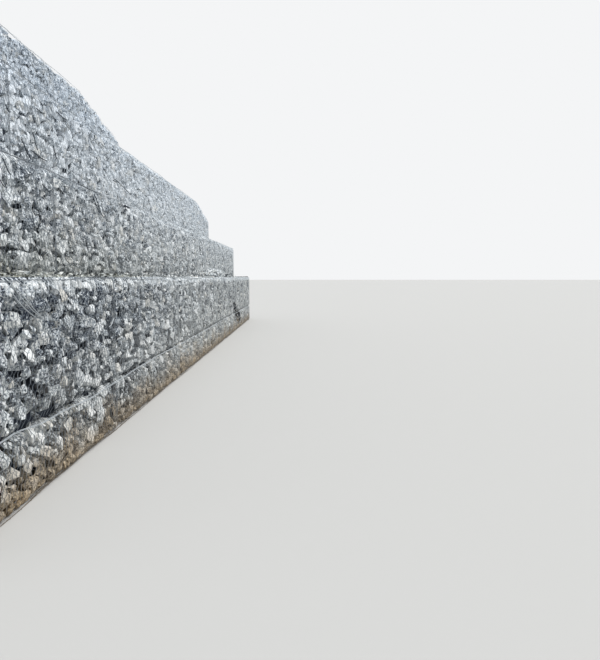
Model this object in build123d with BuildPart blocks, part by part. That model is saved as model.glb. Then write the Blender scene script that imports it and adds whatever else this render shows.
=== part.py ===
"""Stepped gabion retaining wall, six bays long.

Stone-filled wire baskets stand in five courses. Every basket is three cells long, its face
bulges a little between the cell walls, and laced edge wires lie in the grooves between baskets.

Sizes are in millimetres. +X runs along the wall, from its full-height end to its stepped-down
far end. The face looks towards -Y, the retained ground is at +Y, and Z = 0 is the ground.
The origin is the middle of the footprint.
"""

import os
from collections import namedtuple
from math import sqrt

from build123d import *

# Baskets
BASKET_LENGTH = 3000
CELLS_PER_BASKET = 3
BASE_HEIGHT = 500  # half-height baskets, mostly bedded in the ground
COURSE_HEIGHT = 1000
CAP_DEPTH = 1000  # front to back, of the topmost course
CELL_BULGE = 25  # of the face, halfway between two cell walls
COURSE_BULGE = 45  # that the mesh would allow halfway up a full-height course
EDGE_ROUNDING = 60  # where the mesh turns over the stones

# Ledges, each the set-back of a course behind the one below it
LEDGE_1 = 550
LEDGE_2 = 400
LEDGE_3 = 800

# Baskets in each course, counted from the full-height end
LOWER_BASKETS = 6
UPPER_BASKETS = 5
CAP_BASKETS = 3

# The last basket of the two upper courses is short of stone, so its lid falls to its end
LID_FALL = 400
LID_FALL_RUN = 2000

# Laced bundles of edge wire
EDGE_WIRE_DIAMETER = 13
STRAND_COUNT = 8  # round each bundle, which is knobbly rather than round
SEAT_CLEARANCE = 0.3
WIRE_END_GAP = 8  # between a joint wire's end and the long wire that it meets

# A course's name, height, ledge in front of it, baskets, and fall of its last lid
Course = namedtuple("Course", "name height ledge baskets lid_fall")
COURSES = (
    Course("base", BASE_HEIGHT, 0, LOWER_BASKETS, 0),
    Course("course_1", COURSE_HEIGHT, 0, LOWER_BASKETS, 0),
    Course("course_2", COURSE_HEIGHT, LEDGE_1, LOWER_BASKETS, 0),
    Course("course_3", COURSE_HEIGHT, LEDGE_2, UPPER_BASKETS, LID_FALL),
    Course("course_4", COURSE_HEIGHT, LEDGE_3, CAP_BASKETS, LID_FALL),
)

cell_length = BASKET_LENGTH / CELLS_PER_BASKET
wall_start = -LOWER_BASKETS * BASKET_LENGTH / 2
wall_depth = sum(course.ledge for course in COURSES) + CAP_DEPTH
foremost_bulge = min(CELL_BULGE, COURSE_BULGE)
face_y = (foremost_bulge - wall_depth) / 2
back_y = (foremost_bulge + wall_depth) / 2

# From a seat's surface to the middle of the edge wire that lies on it
wire_reach = EDGE_WIRE_DIAMETER / 2 + SEAT_CLEARANCE
# From the middle of an edge's rounding to the wire outside it, along each of two axes
corner_reach = (EDGE_ROUNDING + wire_reach) / sqrt(2)
# From the middles of two roundings that meet to the wire in the groove between them
groove_reach = sqrt((EDGE_ROUNDING + wire_reach) ** 2 - EDGE_ROUNDING**2)
# From the middle of a foot's rounding to the wire on the flat in front of it
foot_reach = 2 * sqrt(EDGE_ROUNDING * wire_reach)


def course_bulge(height):
    """The bulge halfway up a course, in proportion to its height."""
    return COURSE_BULGE * height / COURSE_HEIGHT


def rounding_depth(span, bulge):
    """How far an edge's rounding has its middle behind the face's straight edges.

    The rounding is tangent to the bulge, an arc over this span, and to the basket's flat side.
    """
    radius = (span**2 / 4 + bulge**2) / (2 * bulge)
    return radius - bulge - sqrt((radius - EDGE_ROUNDING) ** 2 - (span / 2 - EDGE_ROUNDING) ** 2)


def make_basket(name, start_x, front_y, foot_z, height, lid_fall):
    """One filled basket: the side profile, trimmed by the plan, less what its lid has sunk."""
    end_x = start_x + BASKET_LENGTH
    top_z = foot_z + height

    with BuildPart() as basket:
        with BuildSketch(Plane.YZ.offset(start_x)) as side:
            with BuildLine():
                crown = (front_y - course_bulge(height), foot_z + height / 2)
                ThreePointArc((front_y, foot_z), crown, (front_y, top_z))
                Polyline((front_y, top_z), (back_y, top_z), (back_y, foot_z), (front_y, foot_z))
            make_face()
            fillet(side.vertices().group_by(Axis.X)[0], EDGE_ROUNDING)
        extrude(amount=BASKET_LENGTH)

        with BuildSketch(Plane.XY.offset(foot_z)) as plan:
            with BuildLine():
                for cell in range(CELLS_PER_BASKET):
                    left = start_x + cell * cell_length
                    crown = (left + cell_length / 2, front_y - CELL_BULGE)
                    ThreePointArc((left, front_y), crown, (left + cell_length, front_y))
                Polyline((end_x, front_y), (end_x, back_y), (start_x, back_y), (start_x, front_y))
            make_face()
            cell_walls = plan.vertices().group_by(Axis.Y)[0].sort_by(Axis.X)
            fillet([cell_walls[0], cell_walls[-1]], EDGE_ROUNDING)
        extrude(amount=height, mode=Mode.INTERSECT)

        if lid_fall:
            with BuildSketch(Plane.XZ.offset(-back_y)):
                with BuildLine():
                    fall_start = (end_x - LID_FALL_RUN, top_z)
                    Polyline(fall_start, (end_x, top_z), (end_x, top_z - lid_fall), close=True)
                make_face()
            extrude(amount=wall_depth + foremost_bulge, mode=Mode.SUBTRACT)

    basket.part.label = name
    return basket.part


def edge_wire_runs(course, front_y, foot_z, below, has_ledge_above):
    """The start and end of each wire of one course: at its foot, lid edge and joints."""
    top_z = foot_z + course.height
    end_x = wall_start + course.baskets * BASKET_LENGTH
    foot_depth = rounding_depth(course.height, course_bulge(course.height))
    foot_rounding_y = front_y + foot_depth
    joint_rounding_y = front_y + rounding_depth(cell_length, CELL_BULGE)
    runs = []

    # Along the foot, on the flat below, or in the groove where the course below is flush
    if below is not None and course.ledge == 0:
        depth_below = rounding_depth(below.height, course_bulge(below.height))
        wire_y = front_y + min(foot_depth, depth_below) - groove_reach
        wire_z = foot_z
    else:
        wire_y = foot_rounding_y - foot_reach
        wire_z = foot_z + wire_reach
    runs.append(((wall_start, wire_y, wire_z), (end_x, wire_y, wire_z)))

    # Along the front edge of the lid, straight and then down the sunken part
    lid_end_x = end_x - LID_FALL_RUN if course.lid_fall else end_x
    if has_ledge_above:
        wire_y = foot_rounding_y - corner_reach
        wire_z = top_z - EDGE_ROUNDING + corner_reach
        runs.append(((wall_start, wire_y, wire_z), (lid_end_x, wire_y, wire_z)))
    if course.lid_fall:
        slope_length = sqrt(LID_FALL_RUN**2 + course.lid_fall**2)
        rise_x = wire_reach * course.lid_fall / slope_length
        rise_z = wire_reach * LID_FALL_RUN / slope_length

        def over_lid(x):
            lid_z = top_z - course.lid_fall * (x - lid_end_x) / LID_FALL_RUN
            return (x + rise_x, foot_rounding_y, lid_z + rise_z)

        # It starts where the lid has fallen by the wire's own diameter
        fall_x = lid_end_x + EDGE_WIRE_DIAMETER * LID_FALL_RUN / course.lid_fall
        runs.append((over_lid(fall_x), over_lid(end_x - 2 * rise_x)))

    # Up the groove of each joint
    foot_stop = foot_z + 2 * wire_reach + WIRE_END_GAP
    top_stop = top_z - EDGE_ROUNDING + corner_reach - wire_reach - WIRE_END_GAP
    for joint in range(1, course.baskets):
        wire_x = wall_start + joint * BASKET_LENGTH
        wire_y = joint_rounding_y - groove_reach
        runs.append(((wire_x, wire_y, foot_stop), (wire_x, wire_y, top_stop)))

    # Up the rounded corner at each end
    corner_y = joint_rounding_y - corner_reach
    near_x = wall_start + EDGE_ROUNDING - corner_reach
    far_x = end_x - EDGE_ROUNDING + corner_reach
    runs.append(((near_x, corner_y, foot_stop), (near_x, corner_y, top_stop)))
    runs.append(((far_x, corner_y, foot_stop), (far_x, corner_y, top_stop - course.lid_fall)))
    return runs


def make_edge_wires(name, runs):
    """Straight laced bundles of edge wire, one for each run."""
    with BuildPart() as wires:
        for start, end in runs:
            run = Vector(*end) - Vector(*start)
            with BuildSketch(Plane(origin=start, z_dir=run)):
                RegularPolygon(EDGE_WIRE_DIAMETER / 2, STRAND_COUNT)
            extrude(amount=run.length)

    wires.part.label = name
    return wires.part


os.makedirs("parts", exist_ok=True)
pieces = []
foot_z = 0
front_y = face_y
below = None
for course, above in zip(COURSES, COURSES[1:] + (None,)):
    front_y += course.ledge
    for bay in range(course.baskets):
        start_x = wall_start + bay * BASKET_LENGTH
        lid_fall = course.lid_fall if bay == course.baskets - 1 else 0
        name = f"{course.name}_bay_{bay + 1}"
        pieces.append(make_basket(name, start_x, front_y, foot_z, course.height, lid_fall))
    has_ledge_above = above is None or above.ledge > 0
    runs = edge_wire_runs(course, front_y, foot_z, below, has_ledge_above)
    pieces.append(make_edge_wires(f"edge_wires_{course.name}", runs))
    foot_z += course.height
    below = course

for piece in pieces:
    export_step(piece, f"parts/{piece.label}.step")
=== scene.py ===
"""Looks of a stepped gabion wall: broken limestone packed behind hexagonal woven wire mesh.

Every basket of the frame is replaced by a fill of separate stones, and gets a net of double-twist
mesh. The laced edge wires are remade as strands with a lacing spiral round them. All sizes are in
metres. X runs along the wall, the face looks towards -Y, and Z = 0 is the ground.
"""

from collections import namedtuple
from functools import partial
from math import atan, cos, pi, radians, sin

import bmesh
import bpy
import numpy as np
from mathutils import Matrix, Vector
from mathutils.bvhtree import BVHTree


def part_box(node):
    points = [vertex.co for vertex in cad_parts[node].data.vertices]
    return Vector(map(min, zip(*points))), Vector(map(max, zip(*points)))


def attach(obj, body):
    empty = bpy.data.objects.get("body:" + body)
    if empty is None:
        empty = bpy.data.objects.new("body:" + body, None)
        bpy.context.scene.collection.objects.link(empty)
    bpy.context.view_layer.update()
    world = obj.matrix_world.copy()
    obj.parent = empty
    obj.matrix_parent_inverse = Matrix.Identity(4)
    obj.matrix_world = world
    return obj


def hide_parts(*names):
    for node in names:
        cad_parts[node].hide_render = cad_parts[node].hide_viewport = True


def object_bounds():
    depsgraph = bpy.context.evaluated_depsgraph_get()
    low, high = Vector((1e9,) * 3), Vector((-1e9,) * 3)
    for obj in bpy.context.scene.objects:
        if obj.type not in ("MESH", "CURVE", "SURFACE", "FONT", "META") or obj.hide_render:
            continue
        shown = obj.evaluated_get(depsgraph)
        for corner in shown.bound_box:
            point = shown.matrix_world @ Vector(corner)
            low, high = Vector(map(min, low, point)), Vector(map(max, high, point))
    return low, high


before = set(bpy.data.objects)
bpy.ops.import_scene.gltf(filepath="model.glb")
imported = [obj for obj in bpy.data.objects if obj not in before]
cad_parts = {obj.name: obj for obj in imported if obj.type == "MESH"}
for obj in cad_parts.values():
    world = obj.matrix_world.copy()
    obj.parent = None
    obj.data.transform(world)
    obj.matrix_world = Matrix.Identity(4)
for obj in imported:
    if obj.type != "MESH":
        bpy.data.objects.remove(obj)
CAD_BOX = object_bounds()

COURSES = ("base", "course_1", "course_2", "course_3", "course_4")
SEED = 7

# Broken limestone: radii of the stones on a face, the large ones laid first
STONE_RADII = (0.088, 0.070, 0.056, 0.044, 0.034, 0.026)
STONE_TRIES = (6, 16, 40, 85, 150, 200)  # places tried for each radius on a square metre
STONE_OVERLAP = 0.88  # of two radii, how near two stones may lie
STONE_SIZE = {"base": 1.0, "course_1": 1.0, "course_2": 0.9, "course_3": 0.8, "course_4": 0.8}
SIZE_STRAY = (0.85, 1.15)  # how a radius differs from stone to stone
STRETCH = ((1.0, 1.45), (0.8, 1.05), (0.6, 0.9))  # length, width and thickness over its radius
SMALL_RADIUS = 0.038  # stones up to this radius take a plainer shape
TURNED_AWAY = -0.35  # triangles that face the mesh less than this can't be seen through it
PANEL_EDGE = 0.025  # from a panel's edge to the nearest stone's middle
GROUND_EDGE = 0.008  # the same on the ground
CLOSE_FILL = 1.15  # how much closer the stones sit on the lids, the ends and the plain back
PRESS = 0.38  # of its radius, how flat a stone lies against the mesh
RECESS = 0.022  # how far behind the mesh a stone may have settled
ROOM_EDGE = 0.002  # how far inside a basket's box its stones stay
LID_STATIONS = 25  # along a lid, where its height is measured
LID_END = 0.02  # from a basket's ends to the first and the last

# Small stones make up the rims, where large ones would leave holes
RIM = 0.10
RIM_RADIUS = 0.046
NOWHERE = 99  # past every panel
TOP_ROW_PITCH = 0.068  # of the row of small stones under the topmost lid
TOP_ROW_STRAY = 0.01
TOP_ROW_EDGE = 0.03  # from a basket's ends to the row
TOP_ROW_DROP = (0.010, 0.026)
TOP_ROW_RADII = (0.034, 0.044)
LID_LIFT = 0.022  # how far the fill may lift a lid between its joints
LID_TUCK = 0.05  # how far a lid is filled under the basket above

# Backing stones close the gaps of the face, and a plain core stands behind them, dark as painted
# shade
BACKING_RADIUS = 0.10
BACKING_SPACING = 0.135
BACKING_STRAY = 0.045  # how far they stray from even spacing
BACKING_DEPTH = 0.038
BACKING_LIFT = ((1.5, 2.5), (0.0, 0.25))  # how much paler they are in the face, up its height
PLAIN_LIFT = 0.12  # and on all other sides
BACKING_EDGE = 0.04  # from a panel's edge to the nearest one's middle
BACKING_CLEAR = 0.03  # from a hollow to the nearest one's middle
BACKING_SIZES = (0.85, 1.1)  # of their radius
BACKING_RECESS = 0.02
CORE_DEPTH = 0.10
CORE_SET_BACK = 0.03  # how much deeper it stands behind the face
CORE_GAP = 0.01  # from the sides that can't be seen
# The core's tones are painted shade: nearly black behind the two lower courses, dark grey higher up
CORE_SHADE_TONE = {"base": -1.0, "course_1": -1.0, "course_2": 0.06, "course_3": 0.14, "course_4": 0.14}

# Spalls that lie on a ledge at the foot of the basket above
CHIPS_A_METRE = 28
CHIP_RADII = (0.010, 0.026)
CHIP_SPREAD = 0.08  # most lie this near to it, and those are half as large again
CHIP_TUCK = 0.06  # how far under it they start
CHIP_RIM = 0.08  # from the ledge's edge to the nearest one
CHIP_ENDS = 0.03  # the same from a basket's ends
CHIP_RISE = 1.4  # of its radius, how high one lies over a lid at its lowest

# The heap of slipped stones on the ledge: where it starts and ends, how deep and how high it is
HEAP_REACH = (1.9, 6.2)
HEAP_DEPTH = 0.36
HEAP_HEIGHT = 0.26
HEAP_ROUNDING = 0.7  # the power of a sine that its outline follows
HEAP_STONES = 420
HEAP_RADII = (0.034, 0.058)
HEAP_TONE = 0.42
MOUND_CUTS = 28  # the fine chips in it are one mound, with this many cross sections
MOUND_STEPS = 7  # and this many corners down the slope of each
MOUND_SHARE = 0.9  # of the heap's height
MOUND_SUNK = 0.01  # how far it reaches into the lid
HEAP_SEAT = 0.85  # of a stone's place in the heap, how high it lies
HEAP_SPREAD = 0.1  # of their usual spread, how far the tones of its stones differ
HEAP_THIN = 0.01**HEAP_ROUNDING  # how full it is where it runs out

# Hollows in the face, where stones have sunk behind the mesh: (x, z, half width, half height)
HOLLOWS = {
    "course_1": (
        (-8.22, 1.10, 0.04, 0.04), (-7.93, 0.530, 0.08, 0.010), (-7.58, 0.54, 0.03, 0.015),
        (-7.67, 0.69, 0.012, 0.04), (-6.2, 1.02, 0.03, 0.06),
    ),
    "course_2": ((-8.6, 1.74, 0.06, 0.06), (-7.9, 1.98, 0.05, 0.05), (-5.2, 2.46, 0.35, 0.012)),
    "course_3": ((-2.4, 2.57, 0.06, 0.06), (-7.4, 2.62, 0.05, 0.05), (-2.65, 2.96, 0.30, 0.012)),
}
HOLLOW_SHADE = 0.45  # painted shade: how much darker the stones that lean into a hollow are coloured
SHADE_REACH = ((-8, 4), (0.06, 0.3))  # how far round one, along the wall
SHADE_RISE = 0.05  # and up it
HOLLOW_CLEAR = 0.6  # of its radius, how far outside one a stone's middle stays

# Torn places, where stones have run out of the basket: (x, z, half width, half height)
TORN = {
    "course_1": (
        (3.85, 0.93, 0.06, 0.05), (4.05, 0.80, 0.09, 0.08), (4.30, 0.66, 0.14, 0.09),
        (4.60, 0.55, 0.30, 0.05),
    ),
    "base": ((5.00, 0.42, 0.55, 0.08), (5.15, 0.29, 0.50, 0.09)),
    "course_2": ((-3.63, 2.40, 0.10, 0.045),),
}
TORN_SHADE = 1.25  # painted shade: how much darker the stones in and round a torn place are coloured
TORN_DEPTH = 0.045  # how much further back the backing stones lie in it
TORN_MESH = 0.1  # how far past its sides the mesh is gone

# A stone's tone, from 0 for nearly black to 1 for nearly white
MIDDLE_TONE = 0.46
TONE_STRAY = 0.15
TONE_LIMITS = (0.1, 0.8)
PALE_STONES = 0.05  # the share of stones that are nearly white
PALE_TONES = (0.72, 0.9)
DARK_STONES = 0.14
DARK_TONES = (0.0, 0.2)

# How much paler stones are at these heights, and how far they differ from each other
# Partly painted light: paler up the wall where the open sky lights it, darker low down as painted
# shade
TONE_HEIGHTS = (0.0, 0.5, 1.48, 1.52, 2.4, 2.8, 4.5)
TONE_SHIFT = (0.20, 0.11, -0.09, 0.19, 0.14, 0.45, 0.32)
TONE_SPREAD = (1.9, 1.8, 1.35, 1.2, 1.0, 0.7, 0.7)
TONE_ALONG = ((-9.0, -7.5, -6.0, -3.0, 9.0), (0.01, 0.0, -0.04, 0.05, 0.06))  # and along the wall
SPREAD_ALONG = ((-8.0, -4.0, 3.0), (0.8, 1.0, 1.6))
BACK_SHIFT = ((0, 4.5), (-0.05, 0.15))  # on the plain back, up its height
BACK_FROM = 1.1  # the y from which a stone belongs to the plain back
CLOSE_SPREAD = 0.7  # of the spread, on all sides but the front
RIM_TONE = 0.08  # along the front of the lids
DUSTY_TONE = -0.20  # further back on them, where dust settles
CHIP_TONE = -0.2

# The rim of the ledge is painted pale: painted light where its rounded edge faces the sky
LIT_RIM_ALONG = (-7.5, -5.5, 1.0, 9.0)
LIT_RIM_TONE = (1.10, 0.88, 0.82, 0.55)
LIT_RIM_SHARE = 0.8
LIT_RIM_DEPTH = 0.13  # how far down it shows
LIT_RIM_FADE = 0.06  # over which it sets in
LIT_RIM_SWELL = 0.2  # how much larger the stones are there

# Pale blocks seen in the face: (x, z, radius)
PALE_BLOCKS = {
    "course_1": (
        (-4.43, 1.11, 0.075), (-6.37, 0.78, 0.085), (-8.00, 1.22, 0.080), (-7.42, 0.80, 0.070),
        (-5.6, 0.98, 0.065),
    ),
    "base": ((-7.25, 0.34, 0.085),),
    "course_2": ((-7.02, 2.349, 0.080), (-6.25, 2.163, 0.065), (-4.94, 2.312, 0.065)),
    "course_3": ((-5.67, 2.890, 0.060), (-5.11, 2.900, 0.055), (-5.97, 2.955, 0.055)),
}
PALE_BLOCK_LIFT = 0.15  # of their tone over the middle one

# Woven mesh with openings 60 mm wide and 80 mm high, of 2.7 mm wire with its zinc coat
MESH_WIDTH = 0.060
MESH_TWIST = 0.032  # height of a twist
MESH_SLANT = 0.024  # height of the single wires between two twists
MESH_STRAY = 0.0022  # how far a twist's ends stray
MESH_WIRE = 0.0027
TWIST_WIRE = 0.0050  # two wires round each other
SLANT_GRIME = 0.8  # dirt stays on the single wires, which shed no rain
PANEL_INSET = 0.004  # from a panel's edge to the mesh
SHEET_STATIONS = (31, 25)  # along and up a front, where its place is measured

# Laced edges
SELVEDGE_WIRE = 0.0038
LACING_WIRE = 0.0032
LACING_RADIUS = 0.0065
WIRE_INSET = 0.003  # how far inside the wall's box the wires' middles stay
BUNDLE_STEP = 0.12  # along a bundle, from one corner of its strands to the next
BUNDLE_END = 0.2  # over which its wandering dies away towards its ends
STRANDS_APART = 0.65  # of their width, how far each of the two strands lies from the middle
LACING_PITCH = 0.15
LACING_TURN = 0.3  # part of the pitch in which the wire goes round

# The rim wires on the plain back, each with short ties across it
BACK_RIM_DEPTH = 0.004  # behind the back's plane
BACK_RIM_DROP = 0.003  # under the lid
BACK_RIM_SIDE = 0.006  # from a basket's end
BACK_RIM_END = 0.01  # from its corners to the wire's ends
BACK_RIM_STEP = 0.25  # between its bends
BACK_RIM_BEND = 0.008
BACK_TIE = 0.006  # from the wire to a tie's ends
BACK_TIE_SLANT = 0.01
BACK_TIE_START = 0.1

# The laced bundles of the face wander a little, but keep to the joint over the base
EDGE_WAVE = 0.012
JOINT_LINE = (  # how the lacing between base and first course rides up and sags: (x, z)
    (-9.0, 0.500), (-8.26, 0.509), (-8.10, 0.522), (-7.73, 0.484), (-7.36, 0.487), (-6.78, 0.470),
    (-5.6, 0.497), (-4.05, 0.511), (-1.5, 0.492), (1.2, 0.507), (4.4, 0.494), (9.0, 0.500),
)
JOINT_TOP = 0.51  # its CAD rods lie below this
JOINT_Y = -1.3755  # just in front of the baskets, where the mesh is drawn in
JOINT_WIDTH = 1.35  # how much thicker that lacing's wire is
JOINT_PALENESS = 0.9  # how much paler it is coloured

# Lid wire that has come loose from the top edge: (start, end, rise)
SLACK_LOOPS = (
    (-4.52, -3.98, 0.030), (-3.78, -3.36, 0.025), (-6.4, -5.8, 0.030), (-8.2, -7.7, 0.025),
)
SLACK_BACK = 0.028  # from the face back to them
SLACK_SWAY = 0.012
SLACK_UNDER = 0.004  # from the lid down to their highest point

# Where the stones along the top have sunk, and the lid with them: (x, half width, depth)
TOP_DIPS = (
    (-8.3, 0.25, 0.05), (-7.1, 0.35, 0.06), (-6.0, 0.30, 0.07), (-5.0, 0.25, 0.05),
    (-4.24, 0.17, 0.085), (-3.56, 0.15, 0.065), (-2.95, 0.18, 0.045), (-2.35, 0.20, 0.050),
    (-1.6, 0.25, 0.05), (-0.9, 0.25, 0.04),
)
DIP_REACH = 0.25  # how far back from the front edge, and down its mesh, they run out

# Tie wires that have come loose and hang on the face: the (x, z) of their two ends
LOOSE_TIES = {
    "course_1": (
        ((-8.04, 1.431), (-7.74, 1.235)), ((-8.00, 1.432), (-7.69, 1.220)),
        ((-8.08, 1.405), (-7.79, 1.230)), ((-6.295, 1.034), (-6.12, 1.106)),
        ((-5.44, 1.457), (-4.91, 1.371)), ((-5.36, 1.450), (-4.80, 1.350)),
    ),
    # Those on the second and third courses are dark strands of painted shade, thin lines of shadow
    "course_2": (
        ((-5.50, 2.487), (-4.67, 2.487)), ((-4.96, 2.444), (-4.745, 2.219)),
        ((-5.02, 2.43), (-4.83, 2.25)), ((-7.01, 2.440), (-6.90, 2.325)),
        ((-7.11, 2.270), (-6.96, 2.216)), ((-6.54, 2.171), (-6.52, 2.095)),
        ((-6.36, 2.336), (-6.16, 2.295)),
    ),
    "course_3": (
        ((-2.93, 2.948), (-2.11, 2.827)), ((-5.85, 2.852), (-5.68, 2.693)),
        ((-5.62, 2.969), (-5.52, 2.815)), ((-5.10, 2.959), (-4.98, 2.831)),
        ((-5.67, 2.784), (-5.29, 2.749)), ((-6.13, 3.096), (-6.04, 3.058)),
        ((-5.52, 3.240), (-5.30, 3.248)), ((-4.97, 3.361), (-4.69, 3.336)),
    ),
}
# Their width as a bundle, and their tone: paler above zero, and below zero painted shade, nearly
# black
TIE_LOOKS = {"course_1": (0.008, 1.0), "course_2": (0.010, -2.0), "course_3": (0.012, -2.0)}
TIE_SAG = 0.012
TIE_PROUD = 0.002  # how far they stand off the mesh
TIE_WAVE = 0.003
TIE_INSET = 0.001  # how far inside the wall's box they stay


def linear(hex_colour):
    """The linear colour of an sRGB hex value such as "8A9098"."""
    channels = [int(hex_colour[i:i + 2], 16) / 255 for i in (0, 2, 4)]
    return [c / 12.92 if c <= 0.04045 else ((c + 0.055) / 1.055) ** 2.4 for c in channels] + [1.0]


# Stone shapes: blocks of rock with corners broken off

BREAK_TILT = 0.22  # how far the breaks turn from even directions
BREAK_DEPTH = (0.58, 0.95)  # how near they come to the middle
LONGEST_CORNER = 1.35


def hull_of(points):
    """Vertices and triangles of the convex hull of points."""
    block = bmesh.new()
    for point in points:
        block.verts.new(point)
    hull = bmesh.ops.convex_hull(block, input=block.verts[:])
    spare = hull["geom_interior"] + hull["geom_unused"]
    spare = {v for v in spare if isinstance(v, bmesh.types.BMVert)}
    bmesh.ops.delete(block, geom=list(spare), context="VERTS")
    bmesh.ops.triangulate(block, faces=block.faces[:])
    bmesh.ops.recalc_face_normals(block, faces=block.faces[:])
    block.verts.index_update()
    vertices = np.array([v.co[:] for v in block.verts])
    triangles = np.array([[v.index for v in f.verts] for f in block.faces])
    block.free()
    return vertices, triangles


def broken_stone(rng, sides):
    """A block about 2 across with this many flat breaks, as vertices and triangles."""
    turn = np.arange(sides) + 0.5
    height = 1 - 2 * turn / sides
    across = np.sqrt(1 - height**2)
    around = turn * pi * (3 - 5**0.5)
    breaks = np.stack([across * np.cos(around), across * np.sin(around), height], axis=1)
    breaks += rng.normal(0, BREAK_TILT, breaks.shape)
    breaks /= np.linalg.norm(breaks, axis=1)[:, None]
    poles, facets = hull_of(breaks / rng.uniform(*BREAK_DEPTH, (sides, 1)))
    corners = np.array([np.linalg.lstsq(poles[f], np.ones(3), rcond=None)[0] for f in facets])
    reach = np.linalg.norm(corners, axis=1)[:, None]
    corners *= np.minimum(1, LONGEST_CORNER / reach)
    vertices, triangles = hull_of(corners)
    vertices -= vertices.mean(axis=0)
    return vertices / np.linalg.norm(vertices, axis=1).mean(), triangles


def stone_shapes(seed, count, sides):
    """Several broken stones with this many breaks."""
    rng = np.random.default_rng(seed)
    return [broken_stone(rng, sides) for _ in range(count)]


FINE_SHAPES = stone_shapes(SEED, 26, 11)
MIDDLE_SHAPES = stone_shapes(SEED + 1, 18, 9)
COARSE_SHAPES = stone_shapes(SEED + 2, 12, 7)
BACKING_SHAPES = stone_shapes(SEED + 3, 8, 6)


# Panels: the sides of a basket that can be seen

Panel = namedtuple("Panel", "side low high normal")

RAY_START = 0.1  # how far outside a panel the search for its basket's surface starts
RAY_LENGTH = 0.9
SKIN_FACING = 0.05  # a surface that faces the panel less than this belongs to another side


def foot_above(course, bay):
    """The y where the basket above stands on this one, or None where there is no basket above."""
    above = COURSES[COURSES.index(course) + 1:][:1]
    if above and f"{above[0]}_bay_{bay}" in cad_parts:
        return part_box(f"{above[0]}_bay_{bay}")[0].y
    return None


def basket_panels(course, bay):
    """The sides of a basket that no other basket covers, each as a flat box on its bounding box."""
    low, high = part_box(f"{course}_bay_{bay}")
    panels = [
        Panel("front", low, Vector((high.x, low.y, high.z)), Vector((0, -1, 0))),
        Panel("back", Vector((low.x, high.y, low.z)), high, Vector((0, 1, 0))),
    ]
    if bay == 1:
        near_high = Vector((low.x, high.y, high.z))
        panels.append(Panel("near_end", low, near_high, Vector((-1, 0, 0))))
    if f"{course}_bay_{bay + 1}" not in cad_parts:
        far_low = Vector((high.x, low.y, low.z))
        panels.append(Panel("far_end", far_low, high, Vector((1, 0, 0))))
    foot = foot_above(course, bay)
    lid_back = high.y if foot is None else foot + LID_TUCK
    if lid_back - low.y > 0.1:
        lid_high = Vector((high.x, lid_back, high.z))
        panels.append(Panel("lid", Vector((low.x, low.y, high.z)), lid_high, Vector((0, 0, 1))))
    return panels


def panel_axes(panel):
    """The two axes that lie in a panel, as numbers: along it, then up or back."""
    if panel.side == "lid":
        return 0, 1
    return (1, 2) if panel.side in ("near_end", "far_end") else (0, 2)


def rectangle(panel, inset):
    """The low and high corners of a panel in its own two axes, moved in by this much."""
    a, b = panel_axes(panel)
    low = np.array([panel.low[a], panel.low[b]]) + inset
    high = np.array([panel.high[a], panel.high[b]]) - inset
    return low, high


def in_oval(u, v, oval, wider, higher):
    """Whether places lie in an oval (u, v, half width, half height) made this much larger."""
    across, up, half_width, half_height = oval
    return ((u - across) / (half_width + wider))**2 + ((v - up) / (half_height + higher))**2 < 1


def skin_of(node):
    """A search tree of a CAD basket's surface."""
    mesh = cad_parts[node].data
    corners = [v.co[:] for v in mesh.vertices]
    return BVHTree.FromPolygons(corners, [p.vertices[:] for p in mesh.polygons])


def on_skin(skin, panel, places):
    """Where places (along, up) of a panel meet the basket: points, normals, and which do."""
    a, b = panel_axes(panel)
    points = np.zeros((len(places), 3))
    normals = np.tile(np.array(panel.normal[:]), (len(places), 1))
    met = np.zeros(len(places), dtype=bool)
    for number, place in enumerate(places):
        start = Vector(panel.low if panel.side in ("front", "near_end") else panel.high)
        start[a] = place[0]
        start[b] = place[1]
        outside = start + panel.normal * RAY_START
        hit, normal, _, _ = skin.ray_cast(outside, -panel.normal, RAY_LENGTH)
        if hit is not None and normal.dot(panel.normal) > SKIN_FACING:
            points[number] = hit
            normals[number] = normal
            met[number] = True
    return points, normals, met


def front_sheet(skin, panel):
    """The front of a basket as a grid: stations along X and up Z, and the face's y at each."""
    x = np.linspace(panel.low.x, panel.high.x, SHEET_STATIONS[0])
    z = np.linspace(panel.low.z, panel.high.z, SHEET_STATIONS[1])
    inner_x = np.clip(x, panel.low.x + PANEL_INSET, panel.high.x - PANEL_INSET)
    inner_z = np.clip(z, panel.low.z + PANEL_INSET, panel.high.z - PANEL_INSET)
    places = np.array([(u, v) for u in inner_x for v in inner_z])
    points, _, met = on_skin(skin, panel, places)
    y = np.where(met, points[:, 1], panel.low.y)
    return x, z, y.reshape(len(x), len(z))


def sheet_y(sheet, points):
    """The face's y in front of points, between the stations of the grid."""
    x, z, y = sheet
    u = np.clip((points[..., 0] - x[0]) / (x[1] - x[0]), 0, len(x) - 1.001)
    v = np.clip((points[..., 2] - z[0]) / (z[1] - z[0]), 0, len(z) - 1.001)
    i, j = u.astype(int), v.astype(int)
    u, v = u - i, v - j
    near = y[i, j] * (1 - v) + y[i, j + 1] * v
    far = y[i + 1, j] * (1 - v) + y[i + 1, j + 1] * v
    return near * (1 - u) + far * u


# Stones


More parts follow.
